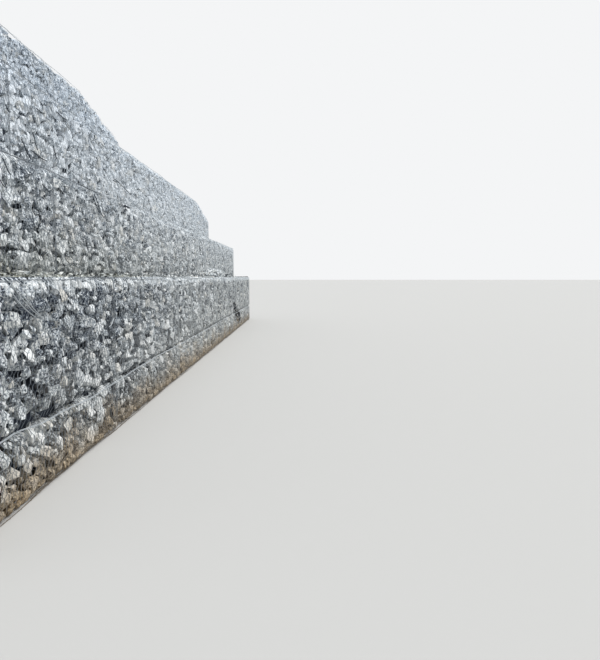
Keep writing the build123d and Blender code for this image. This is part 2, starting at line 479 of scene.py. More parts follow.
def lay_out_stones(panel, rng, kinds, size_factor, hollows, rim, known):
    """Places (along, up) and radii of stones on a panel: large ones first, chips in the gaps.

    Known stones are laid before all others, and only small ones past the rim, a line up the panel.
    """
    low, high = rectangle(panel, PANEL_EDGE)
    if panel.low.z < 0.1:
        low[1] = panel.low.z + GROUND_EDGE
    area = (high[0] - low[0]) * (high[1] - low[1])
    cell = 2 * STONE_RADII[0]
    laid = {}
    places = []
    radii = []
    for u, v, size in known:
        laid.setdefault((int(u // cell), int(v // cell)), []).append((u, v, size))
        places.append((u, v))
        radii.append(size)
    for radius, tries in list(zip(STONE_RADII, STONE_TRIES))[:kinds]:
        count = int(tries * area)
        spots = rng.uniform(low, high, (count, 2))
        sizes = radius * size_factor * rng.uniform(*SIZE_STRAY, count)
        for (u, v), size in zip(spots.tolist(), sizes.tolist()):
            if size > RIM_RADIUS and (v > rim[1] or v < rim[0]):
                continue
            clear = HOLLOW_CLEAR * size
            if any(in_oval(u, v, hollow, clear, clear) for hollow in hollows):
                continue
            i, j = int(u // cell), int(v // cell)
            cells = [(k, m) for k in (i - 1, i, i + 1) for m in (j - 1, j, j + 1)]
            near = [stone for place in cells for stone in laid.get(place, ())]
            if any((u - s[0])**2 + (v - s[1])**2 < ((size + s[2]) * STONE_OVERLAP)**2
                   for s in near):
                continue
            laid.setdefault((i, j), []).append((u, v, size))
            places.append((u, v))
            radii.append(size)
    return np.array(places), np.array(radii)


def top_row(panel, rng):
    """A row of small stones close under the lid, as places (along, up) and radii."""
    x = np.arange(panel.low.x + TOP_ROW_EDGE, panel.high.x - TOP_ROW_EDGE, TOP_ROW_PITCH)
    x += rng.uniform(-TOP_ROW_STRAY, TOP_ROW_STRAY, len(x))
    z = panel.high.z - rng.uniform(*TOP_ROW_DROP, len(x))
    return list(zip(x.tolist(), z.tolist(), rng.uniform(*TOP_ROW_RADII, len(x)).tolist()))


def turns(rng, count):
    """Random rotation matrices."""
    q = rng.normal(size=(count, 4))
    w, x, y, z = (q / np.linalg.norm(q, axis=1)[:, None]).T
    return np.stack([
        1 - 2 * (y * y + z * z), 2 * (x * y - z * w), 2 * (x * z + y * w),
        2 * (x * y + z * w), 1 - 2 * (x * x + z * z), 2 * (y * z - x * w),
        2 * (x * z - y * w), 2 * (y * z + x * w), 1 - 2 * (x * x + y * y),
    ], axis=1).reshape(count, 3, 3)


class Heap:
    """Stones or wires collected as plain arrays, to become one mesh."""

    def __init__(self):
        self.vertices = []
        self.triangles = []
        self.tones = []
        self.count = 0

    def add(self, vertices, triangles, tones, outward=None, whole=None):
        """Adds copies (n, v, 3) of one shape, with its triangles and a tone for each copy.

        With outward directions, the triangles that face away from them are left out. Only the
        copies that are to be whole keep them.
        """
        copies, corners = vertices.shape[:2]
        starts = self.count + np.arange(copies) * corners
        indices = triangles[None] + starts[:, None, None]
        p, q, r = (vertices[:, triangles[:, k]] for k in range(3))
        faces = np.cross(q - p, r - p)
        area = np.linalg.norm(faces, axis=2)
        keep = area > 1e-7
        if outward is not None:
            facing = np.einsum("ntk,nk->nt", faces, outward)
            keep &= (facing > TURNED_AWAY * area) | whole[:, None]
        self.vertices.append(vertices.reshape(-1, 3))
        self.triangles.append(indices[keep])
        self.tones.append(np.repeat(tones, len(triangles)).reshape(copies, -1)[keep])
        self.count += copies * corners

    def to_object(self, name, material, flat):
        """All that was added, as one object with a tone for each face."""
        vertices = np.concatenate(self.vertices)
        used, triangles = np.unique(np.concatenate(self.triangles), return_inverse=True)
        mesh = mesh_from_arrays(name, vertices[used], triangles.reshape(-1, 3))
        tone = mesh.attributes.new("tone", "FLOAT", "FACE")
        tone.data.foreach_set("value", np.concatenate(self.tones).astype(np.float32))
        if flat:
            mesh.shade_flat()
        mesh.materials.append(material)
        piece = bpy.data.objects.new(name, mesh)
        bpy.context.scene.collection.objects.link(piece)
        return piece


def mesh_from_arrays(name, vertices, triangles):
    """A mesh made from arrays in one go."""
    mesh = bpy.data.meshes.new(name)
    mesh.vertices.add(len(vertices))
    mesh.vertices.foreach_set("co", vertices.astype(np.float32).ravel())
    mesh.loops.add(triangles.size)
    mesh.loops.foreach_set("vertex_index", triangles.astype(np.int32).ravel())
    mesh.polygons.add(len(triangles))
    mesh.polygons.foreach_set("loop_start", np.arange(0, triangles.size, 3, dtype=np.int32))
    mesh.update(calc_edges=True)
    return mesh


def stone_tones(rng, points):
    """How pale the stones at these points are: mostly middling, some dark, a few nearly white."""
    count = len(points)
    tones = np.clip(rng.normal(MIDDLE_TONE, TONE_STRAY, count), *TONE_LIMITS)
    odd = rng.uniform(size=count)
    pale, dark = odd > 1 - PALE_STONES, odd < DARK_STONES
    tones[pale] = rng.uniform(*PALE_TONES, pale.sum())
    tones[dark] = rng.uniform(*DARK_TONES, dark.sum())
    x, y, z = points.T
    shift = np.interp(z, TONE_HEIGHTS, TONE_SHIFT)
    shift = np.where(y > BACK_FROM, np.interp(z, *BACK_SHIFT), shift)
    spread = np.interp(z, TONE_HEIGHTS, TONE_SPREAD) * np.interp(x, *SPREAD_ALONG)
    return MIDDLE_TONE + shift + np.interp(x, *TONE_ALONG) + (tones - MIDDLE_TONE) * spread


def lit_rim_share(course, panel, points):
    """How far the rim of the ledge at these points is painted lit, from 0 to 1."""
    if panel.side != "front" or course != "course_1":
        return np.zeros(len(points))
    return np.clip((points[:, 2] - panel.high.z + LIT_RIM_DEPTH) / LIT_RIM_FADE, 0, 1)


def rim_and_lid_tones(course, panel, points, tones):
    """The stones' tones: paler and more alike on the rim, as painted light, and darker on the dusty
    lids.
    """
    if panel.side == "lid":
        rim = np.exp(-(points[:, 1] - panel.low.y) / RIM)
        return tones + RIM_TONE * rim + DUSTY_TONE * (1 - rim)
    share = LIT_RIM_SHARE * lit_rim_share(course, panel, points)
    given_tone = np.interp(points[:, 0], LIT_RIM_ALONG, LIT_RIM_TONE)
    return tones + share * (given_tone - tones)


def lid_lift(course, points):
    """How far the fill lifts a lid between its joints, or has sunk under the topmost course's."""
    x, y = points[..., 0], points[..., 1]
    if course == COURSES[-1]:
        dips = [depth * np.exp(-2 * ((x - middle) / half)**2) for middle, half, depth in TOP_DIPS]
        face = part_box(f"{course}_bay_1")[0].y
        return -sum(dips) * np.exp(-np.maximum(y - face, 0) / DIP_REACH)
    # Waves that don't repeat from basket to basket
    swell = np.sin(x * 4.3 + y) * np.sin(x * 1.7 + 2 * y + COURSES.index(course))
    swell += 0.4 * np.sin(x * 9.1)
    return LID_LIFT * np.clip(0.45 + 0.7 * swell, 0, 1)


# What the stones of a basket keep inside: its box, the lid's height along X and its front's sheet
Room = namedtuple("Room", "low high lid_x lid_z sheet topmost")

# Stones to be piled: where each meets the mesh and which way that faces, its radius, how far it
# lies behind the mesh, its tone, and whether it is seen from all round
Stones = namedtuple("Stones", "points normals radii recess tones whole")


def pile(heap, shapes, rng, stones, room):
    """Adds stones pressed against the basket's surface, each flattened where it meets the mesh.

    The hidden backs are left out, but for the stones that are marked as seen whole.
    """
    count = len(stones.points)
    pick = rng.integers(len(shapes), size=count)
    turn = turns(rng, count)
    stretch = np.stack([rng.uniform(*reach, count) for reach in STRETCH], axis=1)
    for number, (shape, triangles) in enumerate(shapes):
        chosen = pick == number
        if not chosen.any():
            continue
        points, normals, radii, recess, tones, whole = (values[chosen] for values in stones)
        blocks = shape[None] * stretch[chosen][:, None, :] * radii[:, None, None]
        blocks = np.einsum("nvk,njk->nvj", blocks, turn[chosen])
        out = np.einsum("nvk,nk->nv", blocks, normals)
        shift = PRESS * radii - recess - out.max(axis=1)
        blocks += points[:, None, :] + (normals * shift[:, None])[:, None, :]
        proud = np.einsum("nvk,nk->nv", blocks - points[:, None, :], normals)
        proud += recess[:, None]
        blocks -= np.maximum(proud, 0)[:, :, None] * normals[:, None, :]
        blocks = np.clip(blocks, room.low, room.high)
        lid = np.interp(blocks[..., 0], room.lid_x, room.lid_z)
        if room.topmost:
            lid += lid_lift(COURSES[-1], blocks)
        blocks[..., 2] = np.minimum(blocks[..., 2], lid)
        if room.sheet is not None:
            blocks[..., 1] = np.maximum(blocks[..., 1], sheet_y(room.sheet, blocks) + MESH_WIRE)
        heap.add(blocks, triangles, tones, normals, whole)


def room_in(skin, low, high, front):
    """The room inside a basket, with the height that its lid may reach along X."""
    x = np.linspace(low.x + LID_END, high.x - LID_END, LID_STATIONS)
    y = (low.y + high.y) / 2
    z_start = high.z + RAY_START
    down = Vector((0, 0, -1))
    z = [skin.ray_cast(Vector((place, y, z_start)), down, RAY_LENGTH)[0].z for place in x]
    topmost = high.z > CAD_BOX[1].z - 0.1
    lift = -ROOM_EDGE if topmost else LID_LIFT
    bottom = np.array(low[:]) + ROOM_EDGE
    top = np.array([high.x - ROOM_EDGE, high.y - ROOM_EDGE, high.z + lift])
    return Room(bottom, top, x, np.array(z) + lift, front_sheet(skin, front), topmost)


def open_above(room):
    """The same room with no lid over it, for stones that lie on top."""
    top = CAD_BOX[1].z
    high = np.array([room.high[0], room.high[1], top])
    return room._replace(high=high, lid_z=np.full(len(room.lid_x), top), sheet=None, topmost=False)


def add_rings(heap, corners, count, tone):
    """A closed block through rings of this many corners each, in one tone."""
    last = len(corners) - count
    faces = []
    for k in range(1, count - 1):
        faces += [(0, k, k + 1), (last, last + k + 1, last + k)]
    for ring in range(0, last, count):
        for k in range(count):
            a, b = ring + k, ring + (k + 1) % count
            faces += [(a, a + count, b + count), (a, b + count, b)]
    heap.add(np.array(corners)[None], np.array(faces), np.array([tone]))


def add_core(heap, low, high, room, open_sides, tone):
    """A plain block a little behind every seen side, dimly seen in the deepest gaps as painted
    shade.
    """
    near, far = (CORE_DEPTH if end in open_sides else CORE_GAP for end in ("near_end", "far_end"))
    front = low.y + CORE_DEPTH + CORE_SET_BACK
    back = high.y - CORE_DEPTH
    under_lid = CORE_DEPTH if "lid" in open_sides else CORE_GAP
    corners = []
    for x in np.linspace(low.x + near, high.x - far, 4):
        top = np.interp(x, room.lid_x, room.lid_z) - under_lid
        corners += [(x, front, low.z), (x, front, top), (x, back, top), (x, back, low.z)]
    add_rings(heap, corners, 4, tone)


def pile_loose(heap, rng, points, radii, tones, room):
    """Adds stones that lie loose on a lid and are seen from all round."""
    count = len(points)
    upward = np.tile((0.0, 0.0, 1.0), (count, 1))
    stones = Stones(points, upward, radii, np.zeros(count), tones, np.ones(count, bool))
    pile(heap, COARSE_SHAPES, rng, stones, open_above(room))


def strew_chips(heap, course, bay, rng, room):
    """Spalls and chips lying on a basket's lid, most of them at the foot of the basket above."""
    foot = foot_above(course, bay)
    if foot is None:
        return
    foot += CHIP_TUCK
    count = int(CHIPS_A_METRE * (room.high[0] - room.low[0]))
    x = rng.uniform(room.low[0] + CHIP_ENDS, room.high[0] - CHIP_ENDS, count)
    y = foot - np.minimum(rng.exponential(CHIP_SPREAD, count), foot - room.low[1] - CHIP_RIM)
    radii = rng.uniform(*CHIP_RADII, count) * (1 + 0.5 * (foot - y < CHIP_SPREAD))
    z = np.interp(x, room.lid_x, room.lid_z) - LID_LIFT + CHIP_RISE * radii
    points = np.stack([x, y, z], axis=1)
    pile_loose(heap, rng, points, radii, stone_tones(rng, points) + CHIP_TONE, room)


def heap_profile(x):
    """How full the heap on the ledge is at these places along the wall, from 0 to 1."""
    start, end = HEAP_REACH
    return np.sin(pi * (x - start) / (end - start)) ** HEAP_ROUNDING


def add_mound(heap, room, foot):
    """The fine chips that fill the heap between its stones, as one closed mound."""
    start, end = HEAP_REACH
    lid = room.lid_z.max()
    corners = []
    for x in np.linspace(max(start, room.low[0]), min(end, room.high[0]), MOUND_CUTS):
        full = max(heap_profile(x), HEAP_THIN)
        depth, height = HEAP_DEPTH * full, MOUND_SHARE * HEAP_HEIGHT * full
        steps = np.linspace(0, 1, MOUND_STEPS)
        corners += [(x, foot - back * depth, lid + height * (1 - back)) for back in steps]
        corners.append((x, foot, lid - MOUND_SUNK))
    add_rings(heap, corners, MOUND_STEPS + 1, HEAP_TONE)


def pile_on_ledge(heap, course, bay, rng, room):
    """Stones that have slipped down and lie in a low heap at the foot of the wall above."""
    foot = foot_above(course, bay) + LID_TUCK
    x = rng.uniform(*HEAP_REACH, HEAP_STONES)
    full = heap_profile(x)
    back = rng.uniform(0, 1, HEAP_STONES)
    y = foot - back * HEAP_DEPTH * full
    height = HEAP_HEIGHT * full * (1 - back) * rng.uniform(0, 1, HEAP_STONES) ** 0.5
    radii = rng.uniform(*HEAP_RADII, HEAP_STONES)
    points = np.stack([x, y, room.lid_z.max() + HEAP_SEAT * height + radii], axis=1)
    inside = (x > room.low[0]) & (x < room.high[0])
    points, radii = points[inside], radii[inside]
    tones = HEAP_TONE + HEAP_SPREAD * (stone_tones(rng, points) - MIDDLE_TONE)
    add_mound(heap, room, foot)
    pile_loose(heap, rng, points, radii, tones, room)


def near_rim(panel, places, rim):
    """Which places on a panel lie this near to its rim."""
    low, high = rectangle(panel, rim)
    return ((places < low) | (places > high)).any(axis=1)


def add_face_stones(heap, course, bay, rng, skin, room, panel, sides, hollows):
    """The stones that lie against the mesh on one side of a basket."""
    front = panel.side == "front"
    shapes, small_shapes = MIDDLE_SHAPES, COARSE_SHAPES
    if front and bay <= 2:
        shapes, small_shapes = FINE_SHAPES, MIDDLE_SHAPES
    if panel.side == "back":
        shapes, small_shapes = COARSE_SHAPES, BACKING_SHAPES
    fewer = panel.side == "back" or panel.side == "lid" and course != "course_1"
    kinds = len(STONE_RADII) - fewer
    blocks = PALE_BLOCKS.get(course, ()) if front else ()
    known = [block for block in blocks if panel.low.x < block[0] < panel.high.x]
    pale = len(known)
    if front and course == COURSES[-1]:
        known += top_row(panel, rng)
    rim = (NOWHERE, NOWHERE)
    if front:
        rim = (-NOWHERE, panel.high.z - RIM if "lid" in sides else NOWHERE)
    elif panel.side == "lid":
        rim = (panel.low.y + RIM, NOWHERE)
    places, radii = lay_out_stones(panel, rng, kinds, STONE_SIZE[course], hollows, rim, known)
    points, normals, met = on_skin(skin, panel, places)
    falling = room.lid_z.min() < room.lid_z.max() - 0.1
    whole = near_rim(panel, places, RIM)[met] | falling
    points, normals, radii = points[met], normals[met], radii[met]
    recess = MESH_WIRE + rng.uniform(0, 1, len(points)) ** 2 * RECESS
    tones = stone_tones(rng, points)
    if not front:
        radii = radii * CLOSE_FILL
        tones = tones.mean() + CLOSE_SPREAD * (tones - tones.mean())
    tones = rim_and_lid_tones(course, panel, points, tones)
    radii = radii * (1 + LIT_RIM_SWELL * lit_rim_share(course, panel, points))
    # Painted shade on the stones that lean into hollows, and more in and round torn places
    for hollow in hollows:
        reach = np.interp(hollow[0], *SHADE_REACH)
        leaning = in_oval(points[:, 0], points[:, 2], hollow, reach, SHADE_RISE)
        tones[leaning] -= TORN_SHADE if hollow in TORN.get(course, ()) else HOLLOW_SHADE
    tones[:pale] = np.median(tones) + PALE_BLOCK_LIFT
    if panel.side == "lid":
        points[:, 2] += lid_lift(course, points)
    stones = Stones(points, normals, radii, recess, tones, whole)
    small = radii <= SMALL_RADIUS
    for kind, chosen in ((shapes, ~small), (small_shapes, small)):
        pile(heap, kind, rng, Stones(*(values[chosen] for values in stones)), room)


def add_backing_stones(heap, course, rng, skin, room, panel, hollows):
    """The stones behind one side's face: none in hollows, sunk ones in painted shade where it is
    torn.
    """
    along, up = (
        np.linspace(low + BACKING_EDGE, high - BACKING_EDGE,
                    int((high - low) / BACKING_SPACING) + 1)
        for low, high in zip(*rectangle(panel, 0))
    )
    places = np.array([(u, v) for u in along for v in up])
    places += rng.uniform(-BACKING_STRAY, BACKING_STRAY, places.shape)
    points, normals, met = on_skin(skin, panel, places)
    torn = np.zeros(len(places), bool)
    for hollow in hollows:
        inside = in_oval(places[:, 0], places[:, 1], hollow, BACKING_CLEAR, BACKING_CLEAR)
        if hollow in TORN.get(course, ()):
            torn |= inside
        else:
            met &= ~inside
    points, normals, torn = points[met], normals[met], torn[met]
    count = len(points)
    radii = BACKING_RADIUS * rng.uniform(*BACKING_SIZES, count)
    recess = BACKING_DEPTH + rng.uniform(0, BACKING_RECESS, count) + TORN_DEPTH * torn
    lift = np.interp(points[:, 2], *BACKING_LIFT) if panel.side == "front" else PLAIN_LIFT
    # Backing stones in torn places are darkened with painted shade
    tones = stone_tones(rng, points) * 0.8 + lift - TORN_SHADE * torn
    stones = Stones(points, normals, radii, recess, tones, np.zeros(count, bool))
    pile(heap, BACKING_SHAPES, rng, stones, room)


def fill_basket(course, bay, material):
    """One piece with all the stones of a basket that show between the wires."""
    node = f"{course}_bay_{bay}"
    rng = np.random.default_rng([SEED, COURSES.index(course), bay])
    skin = skin_of(node)
    low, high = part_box(node)
    panels = basket_panels(course, bay)
    room = room_in(skin, low, high, panels[0])
    sides = [p.side for p in panels]
    heap = Heap()
    add_core(heap, low, high, room, sides, CORE_SHADE_TONE[course])
    for panel in panels:
        hollows = ()
        if panel.side == "front":
            hollows = HOLLOWS.get(course, ()) + TORN.get(course, ())
        add_face_stones(heap, course, bay, rng, skin, room, panel, sides, hollows)
        add_backing_stones(heap, course, rng, skin, room, panel, hollows)
    if "lid" in sides:
        strew_chips(heap, course, bay, rng, room)
    if course == "course_1" and room.high[0] > HEAP_REACH[0] and room.low[0] < HEAP_REACH[1]:
        pile_on_ledge(heap, course, bay, rng, room)
    piece = heap.to_object(f"{node}_stones", material, flat=True)
    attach(piece, "root")
    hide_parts(node)


# Woven mesh


def lay_wires(starts, ends, normals, width, heap, flat, tones):
    """Adds wires from starts to ends, each lying on a surface with that normal and open below.

    Flat wires have no ridge.
    """
    along = ends - starts
    length = np.linalg.norm(along, axis=1)
    arrays = (starts, ends, normals, along, length, tones)
    starts, ends, normals, along, length, tones = (v[length > 1e-4] for v in arrays)
    along /= length[:, None]
    side = np.cross(along, normals)
    side /= np.linalg.norm(side, axis=1)[:, None]
    rise = np.cross(side, along)
    rim = rise * width / 3
    half = side * width / 2
    offsets = [-half, half] if flat else [-half - rim, rise * width / 2, half - rim]
    faces = [(0, 2, 3), (0, 3, 1)] if flat else [(0, 3, 4), (0, 4, 1), (1, 4, 5), (1, 5, 2)]
    corners = np.stack([starts + o for o in offsets] + [ends + o for o in offsets], axis=1)
    heap.add(corners, np.array(faces), tones)


def net_segments(low, high, rng):
    """Segments of a double-twist mesh over a rectangle: twists stand upright, slants join them."""
    row_pitch = MESH_TWIST + MESH_SLANT
    rows = int((high[1] - low[1]) / row_pitch) + 2
    columns = int((high[0] - low[0]) / MESH_WIDTH) + 2
    start = (low[0] - rng.uniform(0, MESH_WIDTH), low[1] - rng.uniform(0, row_pitch))
    waves = rng.uniform(0, 2 * pi, 4)

    def knot(row, column, top):
        """The foot or the top of a twist, with the mesh wandering a little from even rows."""
        u = start[0] + (column + 0.5 * (row % 2)) * MESH_WIDTH
        v = start[1] + row * row_pitch + (MESH_TWIST if top else 0)
        u += 0.010 * sin(v * 5.1 + waves[0]) + 0.006 * sin(u * 3.3 + waves[1])
        v += 0.012 * sin(u * 2.3 + waves[2]) + 0.005 * sin(u * 7.9 + waves[3])
        return (u, v)

    knots = {}
    for row in range(-1, rows + 1):
        for column in range(-1, columns + 1):
            for top in (False, True):
                place = np.array(knot(row, column, top)) + rng.normal(0, MESH_STRAY, 2)
                knots[row, column, top] = place
    twists = []
    slants = []
    for row in range(-1, rows):
        for column in range(columns):
            twists.append((knots[row, column, False], knots[row, column, True]))
            side = column - 1 if row % 2 == 0 else column
            slants.append((knots[row, column, True], knots[row + 1, side, False]))
            slants.append((knots[row, column, True], knots[row + 1, side + 1, False]))
    return twists, slants


def clip_to(segments, low, high):
    """Segments cut at a rectangle's edges, those outside left out."""
    kept = []
    for p, q in segments:
        t0, t1 = 0.0, 1.0
        step = q - p
        for k in (0, 1):
            for bound, sign in ((low[k], 1), (high[k], -1)):
                start = sign * (p[k] - bound)
                change = sign * step[k]
                if abs(change) < 1e-9:
                    if start < 0:
                        t1 = -1.0
                elif change > 0:
                    t0 = max(t0, -start / change)
                else:
                    t1 = min(t1, -start / change)
        if t1 - t0 > 0.05:
            kept.append((p + step * t0, p + step * t1))
    return np.array(kept)


def hang_tie(heap, skin, panel, start, end, width, shade):
    """A loose tie wire that lies on the mesh in a slack curve."""
    share = np.linspace(0, 1, 9)[:, None]
    places = np.array(start) + (np.array(end) - np.array(start)) * share
    places[:, 1] -= TIE_SAG * np.sin(pi * share[:, 0])
    points, normals, _ = on_skin(skin, panel, places)
    points += normals * (TIE_PROUD + TIE_WAVE * np.sin(2 * pi * share))
    points[:, 1] = np.maximum(points[:, 1], CAD_BOX[0].y + TIE_INSET + width / 2)
    strand(heap, points, panel.normal[:], width, shade)


def net_basket(course, bay, material):
    """The woven mesh over every side of a basket that can be seen."""
    node = f"{course}_bay_{bay}"
    rng = np.random.default_rng([SEED, 50 + COURSES.index(course), bay])
    skin = skin_of(node)
    heap = Heap()
    for panel in basket_panels(course, bay):
        front, flat = panel.side == "front", panel.side != "front"
        low, high = rectangle(panel, PANEL_INSET)
        looks = ((TWIST_WIRE, 0.0), (MESH_WIRE, SLANT_GRIME))
        for segments, (width, darkening) in zip(net_segments(low, high, rng), looks):
            segments = clip_to(segments, low, high)
            starts, normals, start_met = on_skin(skin, panel, segments[:, 0])
            ends, _, end_met = on_skin(skin, panel, segments[:, 1])
            met = start_met & end_met
            for torn in TORN.get(course, ()) if front else ():
                met &= ~in_oval(starts[:, 0], starts[:, 2], torn, TORN_MESH, 0)
            starts, ends, normals = starts[met], ends[met], normals[met]
            for places in (starts, ends):
                if panel.side == "lid":
                    places[:, 2] += lid_lift(course, places)
                elif front and course == COURSES[-1]:
                    share = np.clip((places[:, 2] - panel.high.z + DIP_REACH) / DIP_REACH, 0, 1)
                    places[:, 2] += share * lid_lift(course, places)
            slack = rng.uniform(0.5, 1.0, (len(starts), 1)) * width * normals
            # Wires on the ledge's rim get its painted light, and elsewhere the slant wires hold
            # grime
            tones = lit_rim_share(course, panel, starts)
            tones = np.where(tones > 0.1, tones, -darkening)
            lay_wires(starts - slack, ends - slack, normals, width, heap, flat, tones)
        if panel.side == "back":
            wire_back_joints(heap, panel, rng)
        for start, end in LOOSE_TIES.get(course, ()) if front else ():
            if panel.low.x < start[0] < panel.high.x:
                hang_tie(heap, skin, panel, start, end, *TIE_LOOKS[course])
    piece = heap.to_object(f"{node}_mesh", material, flat=False)
    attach(piece, "root")


def wire_back_joints(heap, panel, rng):
    """The rim wires of a basket on the plain back, tied to the next basket's at every pitch."""
    low, high = panel.low, panel.high
    y = high.y - BACK_RIM_DEPTH
    x, z = high.x - BACK_RIM_SIDE, high.z - BACK_RIM_DROP
    outward = (0.0, 1.0, 0.0)
    for start, end in (
        ((low.x + BACK_RIM_END, z), (high.x - BACK_RIM_END, z)),
        ((x, low.z + BACK_RIM_END), (x, high.z - BACK_RIM_END)),
    ):
        start, end = np.array(start), np.array(end)
        run = end - start
        span = np.linalg.norm(run)
        share = np.linspace(0, 1, int(span / BACK_RIM_STEP) + 2)
        places = start + run * share[:, None]
        places[1:-1] -= rng.uniform(0, BACK_RIM_BEND, (len(share) - 2, 1))
        points = np.stack([places[:, 0], np.full(len(share), y), places[:, 1]], axis=1)
        strand(heap, keep_in_box(points), outward, SELVEDGE_WIRE)
        across = np.array([BACK_TIE * run[1], 0, BACK_TIE * run[0]]) / span
        onward = np.array([BACK_TIE_SLANT * run[0], 0, BACK_TIE_SLANT * run[1]]) / span
        for place in np.arange(BACK_TIE_START, span, LACING_PITCH):
            middle = np.array([start[0], y, start[1]])
            middle[[0, 2]] += run * place / span
            ends = np.array([middle - across, middle + across + onward])
            strand(heap, keep_in_box(ends), outward, LACING_WIRE)


# Laced edges


def straight_runs(node):
    """The two ends of each separate rod of a CAD node."""
    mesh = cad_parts[node].data
    first = {}
    parent = [first.setdefault(tuple(round(c, 5) for c in v.co), v.index) for v in mesh.vertices]

    def root(i):
        while parent[i] != i:
            parent[i] = parent[parent[i]]
            i = parent[i]
        return i

    for edge in mesh.edges:
        parent[root(edge.vertices[0])] = root(edge.vertices[1])
    rods = {}
    for vertex in mesh.vertices:
        rods.setdefault(root(vertex.index), []).append(vertex.co[:])
    runs = []
    for corners in rods.values():
        points = np.array(corners)
        middle = points.mean(axis=0)
        direction = np.linalg.svd(points - middle)[2][0]
        reach = (points - middle) @ direction
        half = direction * (reach.max() - reach.min()) / 2
        runs.append((middle - half, middle + half))
    return runs


def strand(heap, points, normal, width, given_tone=0.0):
    """Adds one three-sided wire through points, seen from all round."""
    along = np.gradient(points, axis=0)
    side = np.cross(along, normal)
    side /= np.linalg.norm(side, axis=1)[:, None]
    rise = np.cross(side, along)
    rise /= np.linalg.norm(rise, axis=1)[:, None]
    angles = (pi / 2, 7 * pi / 6, 11 * pi / 6)
    ring = [points + (side * cos(t) + rise * sin(t)) * width / 2 for t in angles]
    faces = []
    for station in range(len(points) - 1):
        for k in range(3):
            a, b = station * 3 + k, station * 3 + (k + 1) % 3
            faces += [(a, b, b + 3), (a, b + 3, a + 3)]
    vertices = np.stack(ring, axis=1).reshape(1, -1, 3)
    heap.add(vertices, np.array(faces), np.full(1, given_tone))


def keep_in_box(points):
    """The middle line of a wire, moved no further out than the wall's own box."""
    low, high = (np.array(corner[:]) for corner in CAD_BOX)
    return np.clip(points, low + WIRE_INSET, high - WIRE_INSET)


def add_slack_loop(heap, start, end, rise):
    """A length of lid wire that has come loose between two lacings and stands off the edge."""
    low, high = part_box(f"{COURSES[-1]}_bay_1")
    share = np.linspace(0, 1, 30)
    lift = np.sin(pi * share) ** 0.7 * rise
    x = start + (end - start) * share
    y = low.y + SLACK_BACK - SLACK_SWAY * np.sin(3 * pi * share)
    z = high.z - SLACK_UNDER - rise + lift
    strand(heap, np.stack([x, y, z], axis=1), (0.0, -0.3, 1.0), SELVEDGE_WIRE)


def lace_edges(course, material):
    """The edge wires of one course: two strands side by side, with a lacing spiral round them.

    The joint over the base is laced with thicker wire, and coloured paler.
    """
    node = f"edge_wires_{course}"
    rng = np.random.default_rng([SEED, 90, COURSES.index(course)])
    heap = Heap()
    for start, end in straight_runs(node):
        joint = course == "course_1" and max(start[2], end[2]) < JOINT_TOP
        given_tone = JOINT_PALENESS * joint
        length = np.linalg.norm(end - start)
        along = (end - start) / length
        side = np.cross(along, (0.3, -1.0, 0.5))
        side /= np.linalg.norm(side)
        rise = np.cross(side, along)
        phases = rng.uniform(0, 2 * pi, 4)

        def route(places):
            """The middle line of the bundle at these lengths along it."""
            wave = EDGE_WAVE * np.sin(places * 2.1 + phases[0])
            wave += 0.5 * EDGE_WAVE * np.sin(places * 6.3 + phases[1])
            dip = 0.3 * EDGE_WAVE * np.sin(places * 3.3 + phases[2])
            ends = np.minimum(1, np.minimum(places, length - places) / BUNDLE_END)
            middle = start + along * places[:, None]
            if joint:
                middle[:, 1] = JOINT_Y
                middle[:, 2] = np.interp(middle[:, 0], *zip(*JOINT_LINE))
                wave, ends = 0.25 * wave, 1.0
            return middle + side * (wave * ends)[:, None] + rise * (dip * ends)[:, None]

        places = np.linspace(0, length, max(3, int(length / BUNDLE_STEP)))
        width = SELVEDGE_WIRE * (JOINT_WIDTH if joint else 1.0)
        for offset in (-STRANDS_APART * width, STRANDS_APART * width):
            strand(heap, keep_in_box(route(places) + side * offset), rise, width, given_tone)
        turn_steps = np.linspace(0, 1, 5)
        loops = np.arange(int(length / LACING_PITCH))[:, None]
        places = ((loops + turn_steps * LACING_TURN) * LACING_PITCH).ravel()
        angle = ((loops + turn_steps) * 2 * pi).ravel() + phases[3]
        around = side * np.cos(angle)[:, None] + rise * np.sin(angle)[:, None]
        points = route(places) + LACING_RADIUS * around
        strand(heap, keep_in_box(points), rise, LACING_WIRE, given_tone)
    if course == COURSES[-1]:
        for loop in SLACK_LOOPS:
            add_slack_loop(heap, *loop)
    piece = heap.to_object(f"{node}_laced", material, flat=False)
    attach(piece, "root")
    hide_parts(node)


# Finishes

def add_node(tree, kind, settings, *inputs, output=0, **named):
    """Adds a shader node and returns one output of it.

    Its inputs are given in their order or by name, as values or as other nodes' sockets. The stops
    of a colour ramp are (place, hex colour).
    """
    node = tree.nodes.new("ShaderNode" + kind)
    for key, value in settings.items():
        if key != "stops":
            setattr(node, key, value)
            continue
        elements = node.color_ramp.elements
        while len(elements) < len(value):
            elements.new(0.5)
        for element, (place, colour) in zip(elements, value):
            element.position = place
            element.color = linear(colour)
    given = dict(enumerate(inputs)) | {key.replace("_", " "): value for key, value in named.items()}
    for key, value in given.items():
        if isinstance(value, bpy.types.NodeSocket):
            tree.links.new(value, node.inputs[key])
        elif value is not None:
            node.inputs[key].default_value = value
    return node.outputs[output]


# Settings that come up again
TIMES = {"operation": "MULTIPLY"}
TIMES_PLUS = {"operation": "MULTIPLY_ADD"}
MINUS = {"operation": "SUBTRACT"}
OVER = {"operation": "GREATER_THAN"}
LARGER = {"operation": "MAXIMUM"}
LARGER_TO_ONE = {"operation": "MAXIMUM", "use_clamp": True}
TONE = {"attribute_name": "tone"}
COVER = {"data_type": "RGBA", "blend_type": "MIX"}
TINT = {"data_type": "RGBA", "blend_type": "MULTIPLY"}
UNUSED = (None,) * 5  # the inputs of a Mix node between its factor and its colours


def per_mm(size_mm):
    """A noise scale whose features are about this many millimetres across."""
    return 1000.0 / size_mm


